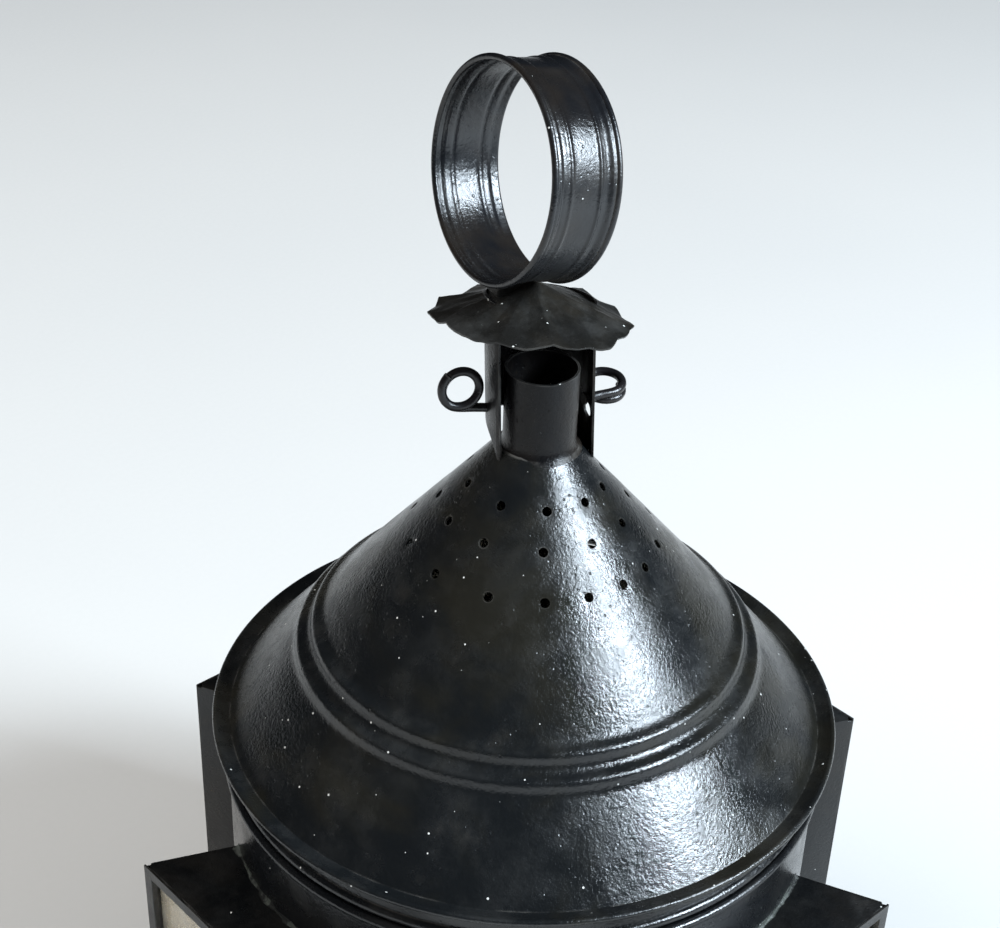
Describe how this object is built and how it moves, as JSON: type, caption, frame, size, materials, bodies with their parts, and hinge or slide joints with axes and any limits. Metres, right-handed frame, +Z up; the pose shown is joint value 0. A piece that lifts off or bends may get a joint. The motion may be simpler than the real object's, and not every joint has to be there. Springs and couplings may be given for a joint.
{
  "type": "candle lantern",
  "caption": "Round candle lantern with projecting glazed window boxes, a conical vented roof that lifts off, a chimney with wind guard and rain cap, and a ring handle.",
  "frame": {"origin": "middle of the base, on the surface that the lantern stands on", "axes": "+Z up; -Y is the front window and +X the right window"},
  "size_m": [0.2576, 0.2576, 0.4375],
  "materials": {
    "drum_paint": "aged semi-gloss black paint on tin",
    "roof_paint": "aged semi-gloss black paint on tin, lightly pitted",
    "box_paint": "aged satin black paint on tin",
    "frame_paint": "aged satin black paint, worn along the edges",
    "ring_paint": "hand-polished black paint",
    "cap_paint": "dusty satin black paint",
    "wire_paint": "thick black paint on iron wire",
    "bare_tin": "dull smoked tin plate",
    "window_glass": "old clear glass with a warm tint",
    "wax": "translucent candle wax",
    "cotton": "braided cotton with a charred end"
  },
  "bodies": {
    "lantern_body": {"drum_shell": "drum_paint", "drum_rim_wire": "drum_paint", "foot_ring": "drum_paint", "base_plate": "bare_tin", "pane_clips": "bare_tin", "drip_pan": "bare_tin", "candle_socket": "bare_tin", "front_window_box": "box_paint", "front_window_frame": "frame_paint", "front_pane": "window_glass", "right_window_box": "box_paint", "right_window_frame": "frame_paint", "right_pane": "window_glass", "rear_window_box": "box_paint", "rear_window_frame": "frame_paint", "rear_pane": "window_glass", "left_window_box": "box_paint", "left_window_frame": "frame_paint", "left_pane": "window_glass"},
    "roof": {"roof_cone": "roof_paint", "roof_rim_wire": "roof_paint", "roof_collar": "roof_paint", "chimney_tube": "roof_paint", "wind_guard": "roof_paint", "rain_cap": "cap_paint", "ring_saddle": "ring_paint", "ring_handle": "ring_paint", "ring_wires": "ring_paint"},
    "left_eye_swivel": {"left_eye": "wire_paint"},
    "right_eye_swivel": {"right_eye": "wire_paint"},
    "candle_stick": {"candle": "wax", "wick": "cotton"}
  },
  "joints": [
    {"name": "roof_lift", "type": "slide", "parent": "lantern_body", "child": "roof", "axis": [0, 0, 1], "range_m": [0, 0.035]},
    {"name": "candle_lift", "type": "slide", "parent": "lantern_body", "child": "candle_stick", "axis": [0, 0, 1], "range_m": [0, 0.03]},
    {"name": "left_eye_turn", "type": "hinge", "parent": "roof", "child": "left_eye_swivel", "pos_m": [0.00253, 0.00171, 0.31629], "axis": [-0.8609, 0.4984, 0.1023], "range_deg": [-94, 86]},
    {"name": "right_eye_turn", "type": "hinge", "parent": "roof", "child": "right_eye_swivel", "pos_m": [0.00253, 0.00171, 0.31629], "axis": [0.9392, -0.3415, 0.0348], "range_deg": [-12, 168]}
  ]
}
